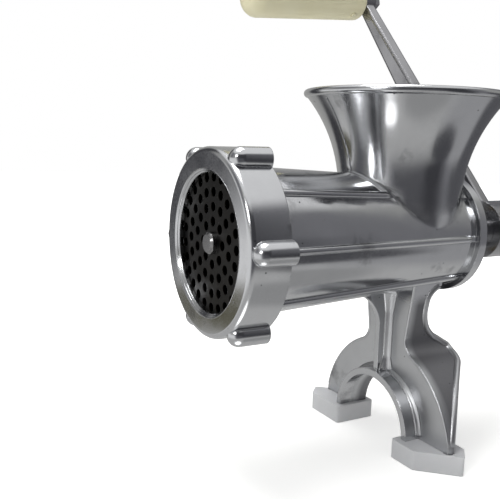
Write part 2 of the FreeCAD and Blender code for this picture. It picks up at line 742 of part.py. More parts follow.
def build_feed_worm():
    body = crank_body("feed_worm")
    turned(body, ring_outline("knife_back", "washer_front", "worm_core_r"))
    sketch = new_sketch(body, "XZ_Plane")
    edge = "bore_front_r - worm_gap - bore_slope * (worm_end_gap + worm_flight_thick)"
    root = "worm_core_r - worm_flight_thick / 2"
    draw(
        sketch,
        [
            ("flight_front - worm_flight_thick / 4", root),
            ("flight_front + worm_flight_thick * 5 / 4", root),
            ("flight_front + worm_flight_thick", edge),
            ("flight_front", edge),
        ],
    )
    axis = (sketch, ["H_Axis"])
    flight = feature(body, "AdditiveHelix", sketch, ReferenceAxis=axis, Mode="height-turns-angle")
    flight.setExpression("Height", bound("flight_back - flight_front"))
    flight.setExpression("Turns", bound("worm_turns"))
    flight.setExpression("Angle", bound("-1 * atan(bore_slope)"))
    stud_hole = [("0", "0", "stud_tail_r + push_gap")]
    drilled(body, "YZ_Plane", stud_hole, "knife_back", "stud_tail + push_gap")
    shaft_hole = [("0", "0", "shaft_tail_r + push_gap")]
    drilled(body, "YZ_Plane", shaft_hole, "shaft_front - push_gap", "shaft_sink + push_gap")
    pin_hole = [("tail_pin_along", "0", "tail_pin_r + push_gap")]
    drilled(body, "XY_Plane", pin_hole, "0 - worm_core_r", "2 * worm_core_r")


def build_tail_shaft():
    body = crank_body("tail_shaft")
    turned(
        body,
        [
            ("shaft_front", "0"),
            ("shaft_front", "shaft_tail_r"),
            ("washer_front", "shaft_tail_r"),
            ("washer_front", "shaft_r"),
            ("hub_front", "shaft_r"),
            ("hub_front", "0"),
        ],
    )
    square = square_outline("shaft_square / 2")
    raised(body, "YZ_Plane", [square], "hub_front", "hub_length - loose_gap")
    screw_hole = [("0", "0", "screw_r + turn_gap")]
    drilled(body, "YZ_Plane", screw_hole, "screw_tip - screw_play", "screw_length + screw_play")
    pin_hole = [("tail_pin_along", "0", "tail_pin_r + push_gap")]
    drilled(body, "XY_Plane", pin_hole, "0 - shaft_tail_r", "2 * shaft_tail_r")


def build_tail_pin():
    body = crank_body("tail_pin")
    across = [("tail_pin_along", "0", "tail_pin_r")]
    drilled(body, "XY_Plane", across, "0 - tail_pin_half", "2 * tail_pin_half", cut=False)


def build_thrust_washer():
    body = barrel_body("thrust_washer")
    turned(body, ring_outline("washer_front", "bore_end", "washer_r", "shaft_r + turn_gap"))


def build_rear_bush():
    body = barrel_body("rear_bush")
    turned(
        body,
        [
            ("bore_end", "shaft_r + turn_gap"),
            ("bush_back", "shaft_r + turn_gap"),
            ("bush_back", "bush_flange_r"),
            ("cap_back", "bush_flange_r"),
            ("cap_back", "bush_r"),
            ("bore_end", "bush_r"),
        ],
    )


def build_crank_arm():
    body = crank_body("crank_arm")
    arm = [
        ("0 - arm_root / 2", "0"),
        ("arm_root / 2", "0"),
        ("arm_tip / 2", "crank_length"),
        ("0 - arm_tip / 2", "crank_length"),
    ]
    rake = Rotation(Vector(-1, 0, 0), size("crank_rake"))
    raised(body, "YZ_Plane", [arm], "hub_front", "arm_thick", turn=rake)
    rounded(body, "arm_edge", lambda edge: edge.Length > size("crank_length / 2"))
    eye = [("0", "crank_length", "eye_r")]
    drilled(body, "YZ_Plane", eye, "hub_front", "arm_thick", cut=False, turn=rake)
    drilled(body, "YZ_Plane", [("0", "0", "hub_r")], "hub_front", "hub_length", cut=False)
    square = square_outline("shaft_square / 2 + push_gap")
    raised(body, "YZ_Plane", [square], "hub_front", "hub_length", cut=True)
    thread = [("0", "crank_length", "spindle_thread_r + push_gap")]
    drilled(body, "YZ_Plane", thread, "hub_front", "arm_thick", turn=rake)
    drilled(body, "YZ_Plane", [("0", "0", "shaft_r + loose_gap")], "hub_front - arm_thick", "arm_thick")


def build_wing_screw():
    body = crank_body("wing_screw")
    turned(
        body,
        [
            ("screw_tip", "0"),
            ("screw_tip", "screw_r"),
            ("screw_seat", "screw_r"),
            ("screw_seat", "screw_head_r"),
            ("screw_seat + screw_head", "screw_head_r"),
            ("screw_seat + screw_head", "0"),
        ],
    )
    wing = [
        ("screw_seat + screw_head / 2", "0"),
        ("screw_seat + screw_head", "wing_reach", "wing_height", -1),
        ("screw_seat + screw_head + wing_height", "wing_reach - wing_thick"),
        ("screw_seat + screw_head", "0"),
    ]
    blade = raised(body, "XZ_Plane", [wing], "0", "wing_thick", both_ways=True)
    patterned(body, blade, "2")


def build_screw_washer():
    body = crank_body("screw_washer")
    turned(body, ring_outline("hub_back", "screw_seat", "screw_washer_r", "screw_r + loose_gap"))


def build_grip():
    body = eye_body("grip")
    turned(
        body,
        [
            ("grip_front", "0"),
            ("grip_front", "grip_r - grip_nose_r", "grip_nose_r", -1),
            ("grip_front + grip_nose_r", "grip_r"),
            ("grip_back - grip_edge_r", "grip_r", "grip_edge_r", -1),
            ("grip_back", "grip_r - grip_edge_r"),
            ("grip_back", "spindle_r + turn_gap"),
            ("grip_front + grip_end_wall", "spindle_r + turn_gap"),
            ("grip_front + grip_end_wall", "0"),
        ],
    )
    drilled(body, "XY_Plane", [("keeper_along", "0", "keeper_r + push_gap")], "0 - grip_r", "grip_r")


def build_grip_spindle():
    body = eye_body("grip_spindle")
    groove = "keeper_r + loose_gap"
    turned(
        body,
        [
            ("grip_front + grip_end_wall + loose_gap", "0"),
            ("grip_front + grip_end_wall + loose_gap", "spindle_r"),
            (f"keeper_along - ({groove})", "spindle_r"),
            (f"keeper_along - ({groove})", "spindle_groove_r"),
            (f"keeper_along + {groove}", "spindle_groove_r"),
            (f"keeper_along + {groove}", "spindle_r"),
            ("hub_front", "spindle_r"),
            ("hub_front", "spindle_thread_r"),
            ("arm_back + nut_length", "spindle_thread_r"),
            ("arm_back + nut_length", "0"),
        ],
    )


def build_grip_washer():
    body = eye_body("grip_washer")
    washer = ring_outline("hub_front - grip_washer", "hub_front", "grip_washer_r", "spindle_r + push_gap")
    turned(body, washer)


def build_spindle_nut():
    body = eye_body("spindle_nut")
    corner = "nut_flats / sqrt(3)"
    hexagon = [(f"{corner} * cos({60 * k} deg)", f"{corner} * sin({60 * k} deg)") for k in range(6)]
    raised(body, "YZ_Plane", [hexagon], "arm_back", "nut_length")
    drilled(body, "YZ_Plane", [("0", "0", "spindle_thread_r + push_gap")], "arm_back", "nut_length")


def build_keeper_pin():
    body = eye_body("grip_keeper_pin")
    low = "0 - grip_r - keeper_head"
    reach = "grip_r + keeper_head - spindle_groove_r - loose_gap"
    drilled(body, "XY_Plane", [("keeper_along", "0", "keeper_r")], low, reach, cut=False)


def build_all():
    build_grinder_body()
    build_foot_pad("left_foot_pad", 0)
    build_foot_pad("right_foot_pad", 180)
    build_ring_nut()
    build_cutting_plate()
    build_plate_key_pin()
    build_cross_knife()
    build_knife_stud()
    build_feed_worm()
    build_tail_shaft()
    build_tail_pin()
    build_thrust_washer()
    build_rear_bush()
    build_crank_arm()
    build_wing_screw()
    build_screw_washer()
    build_grip()
    build_grip_spindle()
    build_grip_washer()
    build_spindle_nut()
    build_keeper_pin()


build_all()
doc.recompute()

for item in doc.Objects:
    if {"Invalid", "Error"} & set(item.State):
        raise RuntimeError(f"{item.Name} failed: {item.State}")
for body in parts:
    if body.Shape.isNull() or not body.Shape.isValid():
        raise RuntimeError(f"{body.Label} has no valid shape")

os.makedirs("parts", exist_ok=True)
for body in parts:
    body.Shape.exportStep(f"parts/{body.Label}.step")
    print(f"{body.Label}: {len(body.Shape.Solids)} solid, {body.Shape.Volume / 1000:.2f} cm3")
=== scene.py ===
import math

import bmesh
import bpy
import numpy as np
from mathutils import Matrix, Vector


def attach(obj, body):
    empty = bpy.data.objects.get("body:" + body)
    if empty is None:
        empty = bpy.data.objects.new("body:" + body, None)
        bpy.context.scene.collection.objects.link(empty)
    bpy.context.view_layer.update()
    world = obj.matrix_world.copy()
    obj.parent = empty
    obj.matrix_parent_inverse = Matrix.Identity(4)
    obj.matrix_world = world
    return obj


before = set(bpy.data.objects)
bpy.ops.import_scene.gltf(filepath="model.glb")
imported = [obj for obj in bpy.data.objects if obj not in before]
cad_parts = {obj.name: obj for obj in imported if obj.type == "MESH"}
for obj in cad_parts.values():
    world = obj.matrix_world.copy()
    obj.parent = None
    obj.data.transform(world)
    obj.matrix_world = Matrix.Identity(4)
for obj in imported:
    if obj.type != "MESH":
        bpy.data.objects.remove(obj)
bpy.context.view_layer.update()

bl_info = {
    "name": "Hand Crank Meat Grinder",
    "version": (1, 0, 0),
    "blender": (4, 5, 0),
    "location": "View3D > Sidebar > Grinder",
    "description": "Finishes the packed meat grinder and sets it in a small studio",
    "category": "Object",
}

MM = 0.001

# Places shared with the solids, in millimetres: heights are from the barrel's axis,
# and places along the barrel are from the front face of the ring nut.
AXIS_HEIGHT = 108.0
FRONT_OVERHANG = 105.5
HOPPER_PLACE = 107.7
HOPPER_CURVE = 74.0
HOPPER_EDGE = (47.8, 66.7)
NECK_TOP = 18.7
NECK_RADII = (27.4, 30.5)
WEB_PLACE = 105.5
FIN_HALF = 1.5
FIN_ENDS = (-27.0, -72.0)
ARCH_RADIUS = 28.6
ARCH_BASE = 8.5
BARREL_ENDS = (17.8, 135.0)
BARREL_RADII = (33.8, 27.7)
RIB_ANGLES = (45, 0, -47)
RIB_RISE = 1.3
RING_LIP = 4.0
LIP_RADIUS = 32.6

# The back flange's rear border (behind the web, height) and the leg's outside (half width, height).
# A third and fourth number are the radius of the arc to the next corner and the side of its centre.
FLANGE_BORDER = (
    (18, -24.5, 9, 1),
    (11.3, -34, 19, 1),
    (22, -53.5),
    (28.1, -57.3, 5, -1),
    (26.6, -63.5, 48, 1),
    (3.5, -96.5),
)
LEG_OUTSIDE = (
    (19.2, -20),
    (14.3, -51.4, 9.5, 1),
    (19.9, -60.1, 50, -1),
    (48.8, -96.5),
)

# Sizes of the stage, in metres, and the colours of its white and of its glowing patch, a painted highlight
# that the hopper mirrors.
FLOOR_RADIUS = 2.5
ROOM_RADIUS = 2.4
WHITE = (1.0, 1.0, 1.0, 1.0)
HIGHLIGHT_GLOW = (2.6, 2.6, 2.6, 1.0)


def linear(code):
    """Turn an sRGB hex colour into linear red, green, blue and full alpha."""
    channels = [int(code[i : i + 2], 16) / 255 for i in (1, 3, 5)]
    values = [c / 12.92 if c <= 0.04045 else ((c + 0.055) / 1.055) ** 2.4 for c in channels]
    return (*values, 1.0)


def colour(name, code, description):
    """A colour setting whose default is an sRGB hex value."""
    return bpy.props.FloatVectorProperty(
        name=name, description=description, subtype="COLOR", size=4, min=0, max=1, default=linear(code)
    )


def length(name, millimetres, description):
    """A length setting whose default is given in millimetres."""
    return bpy.props.FloatProperty(
        name=name, description=description, unit="LENGTH", min=0, default=millimetres * MM
    )


def angle(name, degrees, description):
    """An angle setting whose default is given in degrees."""
    return bpy.props.FloatProperty(
        name=name, description=description, subtype="ANGLE", default=math.radians(degrees)
    )


class GrinderFinish(bpy.types.PropertyGroup):
    """Colours of the finishes and sizes of their grain."""

    casting: colour("Casting", "#CBCCCE", "Polished cast aluminium of the body and the ring")
    casting_dull: colour("Casting, dull", "#B6B7B9", "Parts of the casting that the buff missed")
    # Painted shade: this colour darkens the hollows behind the web; the worn and crank steel also use it
    # for their darker clouds.
    hollow_shade_and_dark_cloud: colour("Casting, raw", "#8A8A8D", "Hollows behind the web that the buff can't reach")
    stain: colour("Stain", "#4A4A4C", "Dark of the casting pits and of the faint stains")
    wave: length("Buffing wave", 14, "Distance between the soft waves that buffing leaves")
    scratch: length("Scratch width", 0.6, "Width of the fine buffing lines")
    pit: length("Pit spacing", 7, "Distance between casting pits")
    edge: length("Edge rounding", 0.55, "Rounding of the buffed edges")
    plate: colour("Plate", "#171614", "Oil-blackened steel of the cutting plate")
    plate_pale: colour("Plate, pale", "#1F1D19", "Paler clouds on the cutting plate")
    steel: colour("Steel", "#C6C6C8", "Bright turned steel")
    worn: colour("Worn steel", "#7E7D7B", "Ground steel of the knife and its stud, dulled by use")
    crank: colour("Crank", "#A8A8AA", "Polished steel of the crank")
    brass: colour("Brass", "#BCA778", "Dull brass of the rear bush")
    brass_dark: colour("Brass, dark", "#A99466", "Darker clouds on the rear bush")
    grip: colour("Grip", "#E6DFB9", "Cream plastic of the grip")
    grip_pale: colour("Grip, pale", "#EDE8CA", "Paler clouds in the grip's plastic")
    pad: colour("Pads", "#CDCED1", "Milky plastic of the foot pads")
    pad_pale: colour("Pads, pale", "#E2E3E5", "Paler clouds in the pads' plastic")
    washer: colour("Washer", "#D8D6CC", "Natural nylon of the thrust washer")
    washer_pale: colour("Washer, pale", "#E4E2D9", "Paler clouds in the washer's nylon")


class GrinderTrim(bpy.types.PropertyGroup):
    """Sizes of the small cast details."""

    rib_radius: length("Rib", 1.9, "Radius of the round ribs along the barrel")
    lip_bevel: length("Lip bevel", 1.7, "Width of the bevel inside the ring's lip")
    bead_radius: length("Flange bead", 1.9, "Radius of the bead along a back flange")
    edge_radius: length("Web edge", 0.8, "Radius of the rounded edges of the web")
    fillet_radius: length("Fin fillet", 3.2, "Radius of the fillets between the fin and the web")
    arch_fillet: length("Arch fillet", 2.2, "Radius of the fillet between the arch and the web")
    neck_fillet: length("Neck fillet", 3.5, "Reach of the fillet between the hopper's neck and the barrel")
    seam_radius: length("Hopper seam", 0.45, "Radius of the parting line on the hopper")


class GrinderStudio(bpy.types.PropertyGroup):
    """Camera and colours of the studio."""

    lens: bpy.props.FloatProperty(
        name="Lens", description="Focal length in millimetres", subtype="DISTANCE_CAMERA", min=10,
        default=50.4,
    )
    eye: bpy.props.FloatVectorProperty(
        name="Camera", description="Where the camera stands", subtype="TRANSLATION", size=3,
        default=(-0.2344, -0.2731, 0.1540),
    )
    azimuth: angle("Azimuth", -29.07, "Turn of the camera round the object")
    pitch: angle("Pitch", 9.11, "Tilt of the camera below the horizon")
    roll: angle("Roll", 1.69, "Roll of the camera")
    floor: colour("Floor", "#F2F2F0", "Pale floor")
    table: colour("Table", "#CBCBCA", "Table top as the metal mirrors it")
    far: colour("Far table", "#626266", "Table top further out")
    mat: colour("Mat", "#B2B2B4", "Grey mat on the mirrored table")
    # Painted shade: a dark strip on the mirrored table that stands in for the object's shade and darkens
    # the barrel's lower side.
    shade_strip: colour("Mat edge", "#56565A", "Dark edge of the mirrored mat")
    shade: colour("Shade", "#ACACAC", "Shade beside the barrel on the mirrored table")
    khaki: colour("Cloth", "#625F4D", "Khaki cloth on the mirrored table")
    dark: colour("Dark walls", "#48484C", "Dark uprights in the mirrored walls")
    grey: colour("Grey walls", "#86868A", "Middle uprights in the mirrored walls")
    pale: colour("Pale walls", "#B2B2B0", "Pale uprights in the mirrored walls")


# Materials


def add_node(tree, kind, inputs=None, **settings):
    """Add a node, set its properties, and give its inputs values or links."""
    node = tree.nodes.new(kind)
    for name, value in settings.items():
        setattr(node, name, value)
    for key, value in (inputs or {}).items():
        if isinstance(value, bpy.types.NodeSocket):
            tree.links.new(value, node.inputs[key])
        else:
            node.inputs[key].default_value = value
    return node


def ranged(tree, value, start, end, low=0.0, high=1.0, kind="LINEAR"):
    """Spread a value between start and end over low to high, and hold it there outside."""
    inputs = {"Value": value, "From Min": start, "From Max": end, "To Min": low, "To Max": high}
    return add_node(tree, "ShaderNodeMapRange", inputs, interpolation_type=kind).outputs[0]


def blended(tree, share, first, second):
    """Blend two colours by a share between zero and one."""
    inputs = {"Factor": share, "A": first, "B": second}
    return add_node(tree, "ShaderNodeMix", inputs, data_type="RGBA").outputs["Result"]


def combined(tree, operation, *values):
    """Join numbers by one step of arithmetic."""
    return add_node(tree, "ShaderNodeMath", dict(enumerate(values)), operation=operation).outputs[0]


def distance(tree, place, middle, scale):
    """Distance of a place from a middle, with each axis first multiplied by its own scale."""
    offset = add_node(tree, "ShaderNodeVectorMath", {0: place, 1: middle}, operation="SUBTRACT")
    scaled = add_node(
        tree, "ShaderNodeVectorMath", {0: offset.outputs[0], 1: scale}, operation="MULTIPLY"
    )
    return add_node(
        tree, "ShaderNodeVectorMath", {0: scaled.outputs[0]}, operation="LENGTH"
    ).outputs["Value"]


def noise(tree, place, size, detail, roughness=0.5):
    """Cloudy values between zero and one, whose clouds are about one size apart."""
    inputs = {"Vector": place, "Scale": 1 / size, "Detail": detail, "Roughness": roughness}
    return add_node(tree, "ShaderNodeTexNoise", inputs).outputs["Fac"]


def bumped(tree, height, rise, normal, invert=False):
    """Tilt a normal by a height between zero and one, whose full rise is given in metres."""
    inputs = {"Height": height, "Distance": rise, "Normal": normal}
    return add_node(tree, "ShaderNodeBump", inputs, invert=invert).outputs[0]


def start_material(name):
    """Return a new material, its tree, its shader and the object's own coordinates."""
    material = bpy.data.materials.new(name)
    material.use_nodes = True
    tree = material.node_tree
    shader = tree.nodes["Principled BSDF"]
    place = add_node(tree, "ShaderNodeTexCoord").outputs["Object"]
    return material, tree, shader, place


def wire(tree, shader, tint, gloss, normal):
    """Give a shader its colour, its roughness and its normal."""
    tree.links.new(tint, shader.inputs["Base Color"])
    tree.links.new(gloss, shader.inputs["Roughness"])
    tree.links.new(normal, shader.inputs["Normal"])


def stand_skin(tree, place):
    """How far the buff reached on the stand: the first socket is one on the web and the legs, where the
    skin is satin, and the second is one in the hollows behind the web, where the skin is unbuffed and
    rougher and its colour is darkened as painted shade."""
    top = (80 * MM, 74 * MM)
    web = (-3 * MM, -1 * MM)
    hollow = (1 * MM, 5 * MM)
    split = add_node(tree, "ShaderNodeSeparateXYZ", {"Vector": place}).outputs
    below = ranged(tree, split["Z"], *top)
    satin = combined(tree, "MULTIPLY", ranged(tree, split["X"], *web), below)
    # This mask roughens the hollows behind the web and also darkens them as painted shade.
    unbuffed_and_shaded = combined(tree, "MULTIPLY", ranged(tree, split["X"], *hollow), below)
    return satin, unbuffed_and_shaded


def neck_rounding(tree, place, edge):
    """Rounding of the casting's edges: small everywhere, and wide where the hopper's neck turns from its
    tapered foot into the flare, so that no crease shows there."""
    middle = ((HOPPER_PLACE - FRONT_OVERHANG) * MM, 0, (AXIS_HEIGHT + NECK_TOP) * MM)
    height = distance(tree, place, middle, (0, 0, 1))
    reach = distance(tree, place, middle, (1, 1, 0))
    wide = ranged(tree, height, 13 * MM, 6 * MM, 0, 7 * MM)
    inside = ranged(tree, reach, 32 * MM, 31 * MM)
    return combined(tree, "MULTIPLY_ADD", wide, inside, edge)


def polished_metal(name, colours, roughness, finish, waves=0.03, pits=True, stretch=(1, 1, 1), skin=None):
    """Buffed metal: broad soft waves, fine buffing lines that dull the gloss, pits, faint dark stains and
    rounded edges. With a skin function the metal is satin and unbuffed where that function says, with the
    unbuffed hollows darkened as painted shade, and the hopper's neck is smoothed."""
    material, tree, shader, place = start_material(name)
    shader.inputs["Metallic"].default_value = 1

    wave = noise(tree, place, finish.wave, 2)
    turned = add_node(tree, "ShaderNodeMapping", {"Vector": place, "Scale": stretch}).outputs[0]
    scratch = noise(tree, turned, finish.scratch, 4)
    cloud = noise(tree, place, 2 * finish.wave, 5, 0.6)

    tint = blended(tree, cloud, *colours)
    dull = ranged(tree, cloud, 0.35, 0.75, *roughness)
    lines = ranged(tree, scratch, 0.3, 0.7, -0.03, 0.05)
    gloss = combined(tree, "ADD", dull, lines)
    edge = finish.edge
    if skin:
        edge = neck_rounding(tree, place, finish.edge)
        satin, unbuffed_and_shaded = skin(tree, place)
        gloss = combined(tree, "MULTIPLY_ADD", satin, 0.2, gloss)
        gloss = combined(tree, "MULTIPLY_ADD", unbuffed_and_shaded, 0.2, gloss)
        # Painted shade: the hollows behind the web are darkened towards the dark casting colour.
        tint = blended(tree, unbuffed_and_shaded, tint, finish.hollow_shade_and_dark_cloud)

    rounded = add_node(tree, "ShaderNodeBevel", {"Radius": edge}, samples=4).outputs[0]
    normal = bumped(tree, wave, waves * MM, rounded)
    normal = bumped(tree, scratch, 0.002 * MM, normal)
    if pits:
        cells = {"Vector": place, "Scale": 1 / finish.pit, "Randomness": 1}
        cell = add_node(tree, "ShaderNodeTexVoronoi", cells).outputs["Distance"]
        hole = ranged(tree, cell, 0.02, 0.06, 1, 0)
        stain = ranged(tree, cloud, 0.62, 0.72, 0, 0.45)
        tint = blended(tree, combined(tree, "MAXIMUM", hole, stain), tint, finish.stain)
        normal = bumped(tree, hole, 0.06 * MM, normal, invert=True)
    wire(tree, shader, tint, gloss, normal)
    return material


def moulded_plastic(name, colours, roughness, grain, milky):
    """Moulded plastic: faint clouds of colour, a fine grain in the gloss, and light that goes in."""
    material, tree, shader, place = start_material(name)
    tint = blended(tree, noise(tree, place, 18 * MM, 3), *colours)
    skin = noise(tree, place, grain, 4)
    gloss = ranged(tree, skin, 0.3, 0.7, roughness - 0.06, roughness + 0.08)
    rounded = add_node(tree, "ShaderNodeBevel", {"Radius": 0.5 * MM}, samples=4).outputs[0]
    normal = bumped(tree, skin, 0.01 * MM, rounded)
    wire(tree, shader, tint, gloss, normal)
    shader.inputs["IOR"].default_value = 1.5
    shader.inputs["Subsurface Weight"].default_value = milky
    shader.inputs["Subsurface Radius"].default_value = (1, 1, 1)
    shader.inputs["Subsurface Scale"].default_value = 2 * MM
    return material


def dress(material, *nodes):
    """Give a material to every slot of some of the solids."""
    for name in nodes:
        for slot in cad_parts[name].material_slots:
            slot.material = material


class GRINDER_OT_castings(bpy.types.Operator):
    """Finish the body, the ring nut and the worm in buffed cast aluminium."""

    bl_idname = "grinder.castings"
    bl_label = "Finish the castings"

    def execute(self, context):
        finish = context.scene.grinder_finish
        colours = (finish.casting, finish.casting_dull)
        body = polished_metal("polished cast aluminium", colours, (0.10, 0.22), finish, skin=stand_skin)
        dress(body, "grinder_body")
        ring = polished_metal("polished ring aluminium", colours, (0.12, 0.24), finish, waves=0.02)
        dress(ring, "ring_nut")
        worm = polished_metal("tumbled cast aluminium", colours[::-1], (0.28, 0.42), finish, waves=0.05)
        dress(worm, "feed_worm")
        return {"FINISHED"}


class GRINDER_OT_steel(bpy.types.Operator):
    """Finish the plate, the knife, the shafts, the crank and the small hardware in steel and brass."""

    bl_idname = "grinder.steel"
    bl_label = "Finish the steel"

    def execute(self, context):
        finish = context.scene.grinder_finish
        across = (1, 8, 8)
        along_arm = (8, 1, 1)

        colours = (finish.plate, finish.plate_pale)
        plate = polished_metal("oil-blackened plate steel", colours, (0.3, 0.42), finish, 0.01)
        dress(plate, "cutting_plate")

        colours = (finish.steel, finish.casting_dull)
        bright = polished_metal("bright turned steel", colours, (0.14, 0.24), finish, 0.005, False, across)
        dress(bright, "tail_shaft", "tail_pin", "plate_key_pin", "grip_spindle")
        dress(bright, "grip_washer", "spindle_nut", "wing_screw", "screw_washer")

        colours = (finish.worn, finish.hollow_shade_and_dark_cloud)
        worn = polished_metal("worn knife steel", colours, (0.2, 0.32), finish, 0.01, True, across)
        dress(worn, "knife_stud", "cross_knife")

        colours = (finish.crank, finish.hollow_shade_and_dark_cloud)
        crank = polished_metal("polished crank steel", colours, (0.16, 0.3), finish, 0.03, True, along_arm)
        dress(crank, "crank_arm")

        colours = (finish.brass, finish.brass_dark)
        brass = polished_metal("turned brass", colours, (0.2, 0.3), finish, 0.005, False, across)
        dress(brass, "rear_bush")
        return {"FINISHED"}


class GRINDER_OT_plastics(bpy.types.Operator):
    """Finish the grip, the foot pads and the thrust washer in moulded plastic."""

    bl_idname = "grinder.plastics"
    bl_label = "Finish the plastics"

    def execute(self, context):
        finish = context.scene.grinder_finish
        grip = moulded_plastic("cream polypropylene", (finish.grip, finish.grip_pale), 0.34, 1.2 * MM, 0.1)
        dress(grip, "grip", "grip_keeper_pin")
        pad = moulded_plastic("milky polyethylene", (finish.pad, finish.pad_pale), 0.42, 1.6 * MM, 0.5)
        dress(pad, "left_foot_pad", "right_foot_pad")
        washer = moulded_plastic("natural nylon", (finish.washer, finish.washer_pale), 0.4, 1.2 * MM, 0.2)
        dress(washer, "thrust_washer")
        return {"FINISHED"}


# Surfaces


def frame_point(along, across, height):
    """Turn places in the barrel's millimetres into the frame's metres."""
    places = np.broadcast_arrays(along - FRONT_OVERHANG, across, height + AXIS_HEIGHT)
    return np.stack(places, axis=-1) * MM


def arc_centre(start, end, radius, side):
    """Centre of the arc from start to end that lies left (1) or right (-1) of the way."""
    start, end = np.array(start), np.array(end)
    chord = end - start
    span = np.hypot(*chord)
    normal = np.array([-chord[1], chord[0]]) * side / span
    return (start + end) / 2 + normal * math.sqrt(radius**2 - span**2 / 4)


def close_mesh(mesh):
    """Merge doubles, point the faces outwards and shade them smooth."""
    work = bmesh.new()
    work.from_mesh(mesh)
    bmesh.ops.remove_doubles(work, verts=work.verts, dist=0.001 * MM)
    bmesh.ops.recalc_face_normals(work, faces=work.faces)
    work.to_mesh(mesh)
    work.free()
    mesh.polygons.foreach_set("use_smooth", np.ones(len(mesh.polygons), dtype=bool))
    mesh.update()


def grid_piece(name, points):
    """Make a mesh from rows of points, each row closed round on itself, with its doubles merged."""
    rows, columns = points.shape[:2]
    index = np.arange(rows * columns).reshape(rows, columns)
    after = np.roll(index, -1, axis=1)
    faces = np.stack([index[:-1], after[:-1], after[1:], index[1:]], axis=-1).reshape(-1, 4)
    mesh = bpy.data.meshes.new(name)
    mesh.from_pydata(points.reshape(-1, 3).tolist(), [], faces.tolist())
    close_mesh(mesh)
    piece = bpy.data.objects.new(name, mesh)
    bpy.context.scene.collection.objects.link(piece)
    return piece


def tube(name, path, radius, sides=12):
    """Carry a circle along a path: each point is the path's point plus radius times a unit vector that
    turns once round the path's own direction. The two ends are drawn together to a point."""
    way = np.gradient(path, axis=0)
    way /= np.linalg.norm(way, axis=1, keepdims=True)
    aside = np.roll(way[0], 1) + np.array([0.31, 0.17, 0.23])
    first = np.cross(way, aside)
    first /= np.linalg.norm(first, axis=1, keepdims=True)
    second = np.cross(way, first)
    turn = np.linspace(0, 2 * np.pi, sides, endpoint=False)[:, None]
    ring = first[:, None] * np.cos(turn) + second[:, None] * np.sin(turn)
    taper = np.full(len(path), radius)
    taper[0] = taper[-1] = 0
    return grid_piece(name, path[:, None] + ring * taper[:, None, None])


def trace(corners, steps=24):
    """Walk a row of corners. A corner with a radius and a side starts an arc to the next one, whose points
    are the centre plus the radius at evenly spaced angles; the others start straight lines."""
    points = []
    share = np.linspace(0, 1, steps, endpoint=False)[:, None]
    for corner, after in zip(corners, corners[1:]):
        start, end = np.array(corner[:2]), np.array(after[:2])
        if len(corner) == 2:
            points.append(start + (end - start) * share)
            continue
        centre = arc_centre(start, end, *corner[2:])
        first = math.atan2(*(start - centre)[::-1])
        last = math.atan2(*(end - centre)[::-1])
        sweep = (last - first + math.pi) % (2 * math.pi) - math.pi
        turn = first + sweep * share
        points.append(centre + corner[2] * np.hstack([np.cos(turn), np.sin(turn)]))
    points.append([corners[-1][:2]])
    return np.vstack(points)


def hollow_corner(radius):
    """Two distances from a square corner, for the corner itself, a little inside both walls, and for a
    quarter circle that is bent towards it, in as many rows as there are radii."""
    turn = np.linspace(0, np.pi / 2, 9)
    first = np.concatenate([[-0.1], 1 - np.cos(turn)]) * radius
    second = np.concatenate([[-0.1], 1 - np.sin(turn)]) * radius
    return first, second


def neck_meets_barrel(turn, beyond):
    """Points on top of the barrel at angles round the hopper, a distance beyond the neck's foot: the
    height is that of the barrel's circle there, and the neck widens evenly with the height."""
    height = np.full_like(turn, 15.0)
    for _ in range(30):
        reach = np.interp(height, (0, NECK_TOP), NECK_RADII) + beyond
        along = HOPPER_PLACE - reach * np.sin(turn)
        across = -reach * np.cos(turn)
        barrel = np.interp(along, BARREL_ENDS, BARREL_RADII)
        height = np.sqrt(np.clip(barrel**2 - across**2, 0, None))
    return np.stack([along, across, height], axis=-1)


def settle(piece, material, body):
    """Give a piece its material and the body that it moves with."""
    piece.data.materials.append(bpy.data.materials[material])
    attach(piece, body)


class GRINDER_OT_ribs(bpy.types.Operator):
    """Round the ribs along the barrel. The upper ones end where they meet the hopper's neck."""

    bl_idname = "grinder.ribs"
    bl_label = "Barrel ribs"

    def execute(self, context):
        radius = context.scene.grinder_trim.rib_radius / MM
        crown = 0.5
        first, last = BARREL_ENDS
        for number, degrees in enumerate(RIB_ANGLES, 1):
            turn = math.radians(degrees)
            end = last
            if degrees > 0:
                half = NECK_RADII[1] * math.cos(turn)
                end = HOPPER_PLACE - math.sqrt(NECK_RADII[1] ** 2 - half**2)
            along = np.linspace(first, end, 24)
            reach = np.interp(along, BARREL_ENDS, BARREL_RADII) + RIB_RISE + crown - radius
            for name, side in (("left", 1), ("right", -1)):
                path = frame_point(along, side * reach * math.cos(turn), reach * math.sin(turn))
                rib = tube(f"{name}_rib_{number}", path, radius * MM)
                settle(rib, "polished cast aluminium", "stand")
        return {"FINISHED"}


class GRINDER_OT_lip_bevel(bpy.types.Operator):
    """Bevel the inside of the ring's lip. The bevel is a profile turned round the barrel's axis: each point
    is the profile's radius at an angle."""

    bl_idname = "grinder.lip_bevel"
    bl_label = "Lip bevel"

    def execute(self, context):
        width = context.scene.grinder_trim.lip_bevel / MM
        front, back = -0.05, RING_LIP - 0.2
        inside, sunk = LIP_RADIUS - width, LIP_RADIUS + 0.3
        along = np.array([front, front, width, back, back, front])[:, None]
        reach = np.array([sunk, LIP_RADIUS, inside, inside, sunk, sunk])[:, None]
        turn = np.linspace(0, 2 * np.pi, 180, endpoint=False)
        bevel = grid_piece("lip_bevel", frame_point(along, reach * np.cos(turn), reach * np.sin(turn)))
        bevel.data.polygons.foreach_set("use_smooth", np.zeros(len(bevel.data.polygons), dtype=bool))
        settle(bevel, "polished ring aluminium", "ring")
        return {"FINISHED"}


